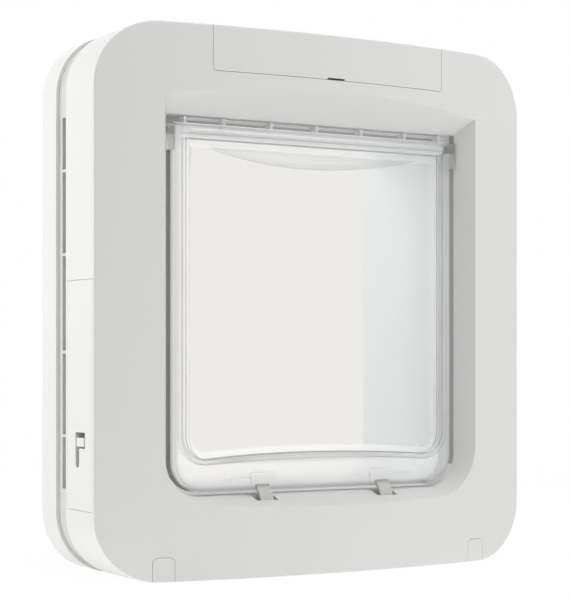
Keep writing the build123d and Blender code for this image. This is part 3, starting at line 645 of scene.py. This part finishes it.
@dataclass(frozen=True)
class WoundCopper(Finish):
    """Enamelled wire wound in close turns, which run round the tunnel."""

    wire: float = 0.0005
    wire_height: float = 0.0002
    wire_strength: float = 0.8
    # Painted shade: share of the colour left in the gaps between turns
    gap_shade: float = 0.35
    metallic: float = 0.85
    enamel: float = 0.4
    roughness: float = 0.3
    patch_per_metre: float = 400.0
    patch_roughness: float = 0.1

    def paint(self, graph: Graph) -> None:
        """Round each turn of the wire, and paint shade into the gaps between them.

        Args:
            graph: The new material's graph.
        """
        off_centre = graph.axis(Axis.Y).repeated(self.wire) - 0.5
        crown = 1.0 - off_centre * off_centre * 4.0
        graph.feed(
            Base_Color=graph.colours(crown, self.dulled(self.gap_shade), self.colour),
            Metallic=self.metallic,
            Roughness=self.roughness + self.patch_roughness * graph.noise(self.patch_per_metre),
            Coat_Weight=self.enamel,
        )
        graph.bump(crown, self.wire_height, self.wire_strength)


@dataclass(frozen=True)
class SolderMask(Finish):
    """Green circuit board with paler tracks."""

    track: Colour = (0.1, 0.36, 0.16)
    lane_pitch: float = 0.004
    lane_share: float = 0.28
    row_pitch: float = 0.0124
    row_share: float = 0.08
    field_per_metre: float = 70.0
    field_level: float = 0.48
    track_height: float = 0.00005
    track_strength: float = 0.8
    lacquer: float = 0.3
    roughness: float = 0.32
    patch_per_metre: float = 300.0
    patch_roughness: float = 0.1

    def paint(self, graph: Graph) -> None:
        """Lay upright and level tracks in some fields of the board.

        Args:
            graph: The new material's graph.
        """
        lane = graph.axis(Axis.X).repeated(self.lane_pitch) < self.lane_share
        row = graph.axis(Axis.Z).repeated(self.row_pitch) < self.row_share
        tracks = (lane + row).clamped() * (graph.noise(self.field_per_metre) > self.field_level)
        graph.feed(
            Base_Color=graph.colours(tracks, self.colour, self.track),
            Roughness=self.roughness + self.patch_roughness * graph.noise(self.patch_per_metre),
            Coat_Weight=self.lacquer,
        )
        graph.bump(tracks, self.track_height, self.track_strength)


@dataclass(frozen=True)
class PrintedSleeve(Finish):
    """Shrink sleeve with one band of a second colour in each pitch across the object."""

    band: Colour
    band_pitch: float
    band_share: float
    metallic: float = 0.15
    roughness: float = 0.25
    patch_per_metre: float = 500.0
    patch_roughness: float = 0.08
    crease_per_metre: float = 180.0
    crease_height: float = 0.00006
    crease_strength: float = 0.5

    def paint(self, graph: Graph) -> None:
        """Print the band and crease the sleeve a little.

        Args:
            graph: The new material's graph.
        """
        printed = graph.axis(Axis.X).repeated(self.band_pitch) < self.band_share
        graph.feed(
            Base_Color=graph.colours(printed, self.colour, self.band),
            Roughness=self.roughness + self.patch_roughness * graph.noise(self.patch_per_metre),
            Metallic=self.metallic,
        )
        graph.bump(graph.noise(self.crease_per_metre), self.crease_height, self.crease_strength)


HOUSING_WHITE = MouldedPlastic("housing_white", (0.78, 0.78, 0.765))
INNER_WHITE = MouldedPlastic("inner_white", (0.8, 0.81, 0.8), roughness=0.35)
BLACK_PLASTIC = MouldedPlastic("black_plastic", (0.03, 0.03, 0.032), roughness=0.5)
ZINC_STEEL = PlatedMetal("zinc_steel", (0.62, 0.63, 0.64))


@dataclass(frozen=True)
class SubAssembly:
    """Pieces that belong together, with the finishes that they wear."""

    def dress(self) -> None:
        """Give every piece its finish."""
        raise NotImplementedError

    def wear(self, finish: Finish, *nodes: str) -> None:
        """Give one finish to some pieces.

        Args:
            finish: The finish.
            nodes: The names of the pieces.
        """
        for name in nodes:
            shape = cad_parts[name].data
            shape.materials.clear()
            shape.materials.append(finish.material())
            LOG.info("dressed %s with %s", name, finish.name)


@dataclass(frozen=True)
class Housing(SubAssembly):
    """Room-side housing with its covers, the chassis behind it, the seal and the outdoor frame."""

    shell: Finish = HOUSING_WHITE
    chassis: Finish = ShadePaintedPlastic("chassis_plastic", (0.92, 0.935, 0.935))
    seal: Finish = Rubber("seal_foam", (0.7, 0.705, 0.675))

    def dress(self) -> None:
        """Give every piece its finish."""
        self.wear(self.shell, "front_housing", "left_side_cover", "battery_cover", "outdoor_frame")
        self.wear(self.shell, "screw_cover_left", "screw_cover_right")
        self.wear(self.chassis, "rear_chassis")
        self.wear(self.seal, "door_seal")


@dataclass(frozen=True)
class HungFlap(SubAssembly):
    """The flap, the pins that it hangs on and the draught strip over it, whose grey also stands in for the
    shade in the gap above the flap.
    """

    pane: Finish = FlapPlastic("clear_plastic", (0.87, 0.875, 0.873))
    pins: Finish = ZINC_STEEL
    # The strip's grey is partly painted shade: it darkens the gap above the flap
    strip: Finish = Rubber("dark_strip", (0.67, 0.68, 0.67), cells_per_metre=2200.0)

    def dress(self) -> None:
        """Give every piece its finish."""
        self.wear(self.pane, "flap")
        self.wear(self.pins, "hinge_pin_left", "hinge_pin_right")
        self.wear(self.strip, "draught_strip")


@dataclass(frozen=True)
class LatchDrive(SubAssembly):
    """The two latches on their shaft, the motor that turns it and the hand lock."""

    tongues: Finish = MouldedPlastic("latch_plastic", (0.61, 0.6, 0.57), roughness=0.25)
    shaft: Finish = ZINC_STEEL
    gearbox: Finish = BLACK_PLASTIC
    motor: Finish = PlatedMetal("motor_can", (0.6, 0.6, 0.61), roughness=0.28)
    bracket: Finish = INNER_WHITE
    lock: Finish = HOUSING_WHITE

    def dress(self) -> None:
        """Give every piece its finish."""
        self.wear(self.tongues, "left_latch", "right_latch")
        self.wear(self.shaft, "latch_shaft")
        self.wear(self.gearbox, "latch_gearbox")
        self.wear(self.motor, "latch_motor")
        self.wear(self.bracket, "motor_bracket")
        self.wear(self.lock, "lock_slider")


@dataclass(frozen=True)
class Electronics(SubAssembly):
    """The reader coil, the circuit board with its parts, and the controls."""

    coil: Finish = WoundCopper("copper_wire", (0.62, 0.28, 0.12))
    board: Finish = SolderMask("solder_mask", (0.03, 0.17, 0.07))
    chips: Finish = BLACK_PLASTIC
    capacitors: Finish = PrintedSleeve(
        "capacitor_sleeve", (0.05, 0.06, 0.12), band=(0.55, 0.56, 0.58), band_pitch=0.03, band_share=0.2
    )
    connector: Finish = MouldedPlastic("connector_nylon", (0.8, 0.77, 0.68))
    button: Finish = HOUSING_WHITE
    lamp: Finish = ClearPlastic("lamp_red", (0.75, 0.05, 0.03), roughness=0.1)

    def dress(self) -> None:
        """Give every piece its finish."""
        self.wear(self.coil, "antenna_coil")
        self.wear(self.board, "circuit_board")
        self.wear(self.chips, "processor_chip", "button_switch")
        self.wear(self.capacitors, "board_capacitors")
        self.wear(self.connector, "lead_connector")
        self.wear(self.button, "learn_button")
        self.wear(self.lamp, "status_lamp")


@dataclass(frozen=True)
class PowerSupply(SubAssembly):
    """The battery tray with its cells and contacts."""

    tray: Finish = INNER_WHITE
    cells: Finish = PrintedSleeve(
        "cell_sleeve", (0.07, 0.12, 0.16), band=(0.6, 0.45, 0.2), band_pitch=0.0505, band_share=0.22
    )
    contacts: Finish = PlatedMetal("contact_nickel", (0.75, 0.74, 0.7), roughness=0.14)

    def dress(self) -> None:
        """Give every piece its finish."""
        self.wear(self.tray, "battery_tray")
        self.wear(self.cells, "battery_1", "battery_2", "battery_3", "battery_4")
        self.wear(self.contacts, "battery_springs", "contact_plates")


@dataclass(frozen=True)
class Fixings(SubAssembly):
    """The screws of the chassis and those that clamp the two frames to a door."""

    screws: Finish = ZINC_STEEL

    def dress(self) -> None:
        """Give every piece its finish."""
        self.wear(self.screws, "fixing_screws", "chassis_screws")


@dataclass(frozen=True)
class Softbox:
    """A square area light that faces a point."""

    name: str
    place: Point
    size: float
    power: float
    aim: Point = (0.0, 0.0, 0.14)
    mirrored: bool = True

    def hang(self) -> None:
        """Add the light to the scene."""
        data = bpy.data.lights.new(self.name, "AREA")
        data.size = self.size
        data.energy = self.power
        lamp = bpy.data.objects.new(self.name, data)
        lamp.location = self.place
        lamp.rotation_euler = (Vector(self.aim) - Vector(self.place)).to_track_quat("-Z", "Y").to_euler()
        lamp.visible_glossy = self.mirrored
        lamp.visible_transmission = False
        bpy.context.scene.collection.objects.link(lamp)


@dataclass(frozen=True)
class Studio:
    """World, floor, soft lights and camera."""

    # Light of the world on the object, and the pale backdrop that shows through the pane
    fill: float = 0.15
    through: Colour = (0.965, 0.945, 0.928)
    # The floor looks white, and keeps a share of the shadow near the object
    floor_size: float = 12.0
    floor_drop: float = 0.0005
    floor_colour: Colour = (0.92, 0.92, 0.92)
    floor_roughness: float = 0.9
    floor_lift: float = 0.32
    floor_share: float = 0.86
    floor_near: float = 0.3
    floor_fade: float = 0.6
    # Upright camera to the left of the front
    eye: Point = (-0.4911, -0.8435, 0.1096)
    heading: float = radians(30.33)
    lens: float = 106.4
    sensor: float = 36.0
    lift: float = 0.1057
    nearest: float = 0.01
    lamps: tuple[Softbox, ...] = (
        Softbox("rear_left_softbox", (-1.2, 0.8, 0.5), 1.0, 11.8),
        Softbox("front_right_softbox", (1.3, -0.9, 0.5), 1.2, 6.5, mirrored=False),
        Softbox("rear_softbox", (0.0, 1.2, 0.4), 0.7, 2.0),
        Softbox("overhead_softbox", (0.0, -0.5, 1.65), 1.2, 18.0),
    )

    def build(self) -> None:
        """Make the whole stage."""
        self.world()
        self.floor()
        for box in self.lamps:
            box.hang()
        self.camera()

    def world(self) -> None:
        """White to the eye and in reflections, a warm pale backdrop through the pane, and a softer fill."""
        world = bpy.data.worlds.new("studio_world")
        bpy.context.scene.world = world
        world.use_nodes = True
        tree = Tree(world.node_tree)
        fill, backdrop, white = (
            tree.node("ShaderNodeBackground", {}, {"Color": colour, "Strength": strength}).outputs[0]
            for colour, strength in ((WHITE, self.fill), (self.through, 1.0), (WHITE, 1.0))
        )
        seen = tree.seen_by(fill, {Ray.GLOSSY: white, Ray.TRANSMITTED: backdrop, Ray.CAMERA: white})
        tree.node("ShaderNodeOutputWorld", {}, {"Surface": seen})

    def floor(self) -> None:
        """A pale floor that looks white and keeps a faint shadow."""
        bpy.ops.object.select_all(action="DESELECT")
        bpy.ops.mesh.primitive_plane_add(size=self.floor_size, location=(0.0, 0.0, -self.floor_drop))
        plane = bpy.context.object
        plane.name = "studio_floor"
        graph = Graph("studio_floor")
        graph.feed(
            Base_Color=self.floor_colour,
            Roughness=self.floor_roughness,
            Specular_IOR_Level=0.0,
            Emission_Color=WHITE,
            Emission_Strength=self.floor_lift,
        )
        white, backdrop = (
            graph.node("ShaderNodeEmission", {}, {"Color": colour, "Strength": 1.0}).outputs[0]
            for colour in (WHITE, self.through)
        )
        across = graph.axis(Axis.X)
        along = graph.axis(Axis.Y)
        away = (across * across + along * along).root()
        fade = ((away - self.floor_near) * (1.0 / self.floor_fade)).clamped()
        share = self.floor_share + (1.0 - self.floor_share) * fade
        shades = {Ray.GLOSSY: white, Ray.TRANSMITTED: backdrop, Ray.CAMERA: white}
        graph.fill(graph.output.inputs["Surface"], graph.seen_by(graph.shader.outputs[0], shades, share))
        plane.data.materials.append(graph.material)

    def camera(self) -> None:
        """Add the camera at the viewing angle of the product picture."""
        data = bpy.data.cameras.new("camera")
        data.lens = self.lens
        data.sensor_width = self.sensor
        data.shift_y = self.lift
        data.clip_start = self.nearest
        eye = bpy.data.objects.new("camera", data)
        eye.location = self.eye
        eye.rotation_euler = (pi / 2.0, 0.0, -self.heading)
        bpy.context.scene.collection.objects.link(eye)
        bpy.context.scene.camera = eye


def main() -> None:
    """Dress the cat flap and set the stage."""
    logging.basicConfig(level=logging.INFO)
    bpy.context.scene.view_settings.view_transform = "Standard"
    for group in (Housing(), HungFlap(), LatchDrive(), Electronics(), PowerSupply(), Fixings()):
        group.dress()
    Studio().build()


if __name__ == "__main__":
    main()
